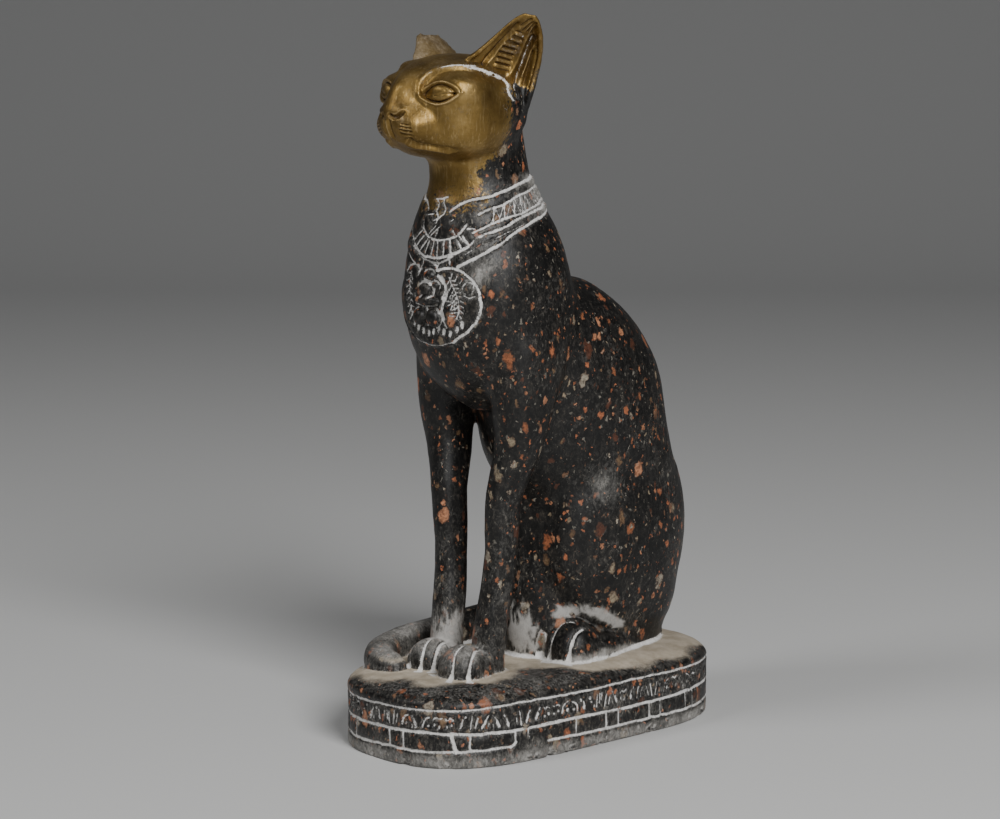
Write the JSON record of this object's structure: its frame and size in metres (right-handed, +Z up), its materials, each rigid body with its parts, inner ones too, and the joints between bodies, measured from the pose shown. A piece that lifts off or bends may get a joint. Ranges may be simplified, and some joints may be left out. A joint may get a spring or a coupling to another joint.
{
  "type": "seated cat statuette",
  "caption": "Slender seated cat carved from one stone with its plinth, with collar, breast ornament, hollow ears, tail curled along one side and lines cut round the plinth.",
  "frame": {"origin": "middle of the plinth's flat underside, which the statue stands on", "axes": "+Z up, the cat faces -Y, its left side is +X and the long side of the plinth runs along Y"},
  "size_m": [0.0754, 0.14, 0.25],
  "materials": {
    "cat_statue": "satin black stone with orange, brown and cream flecks, white chalk rubbed into the carved lines, satin gold paint on face, ear insides and throat"
  },
  "bodies": {
    "root": {"cat_statue": "cat_statue"}
  },
  "joints": []
}
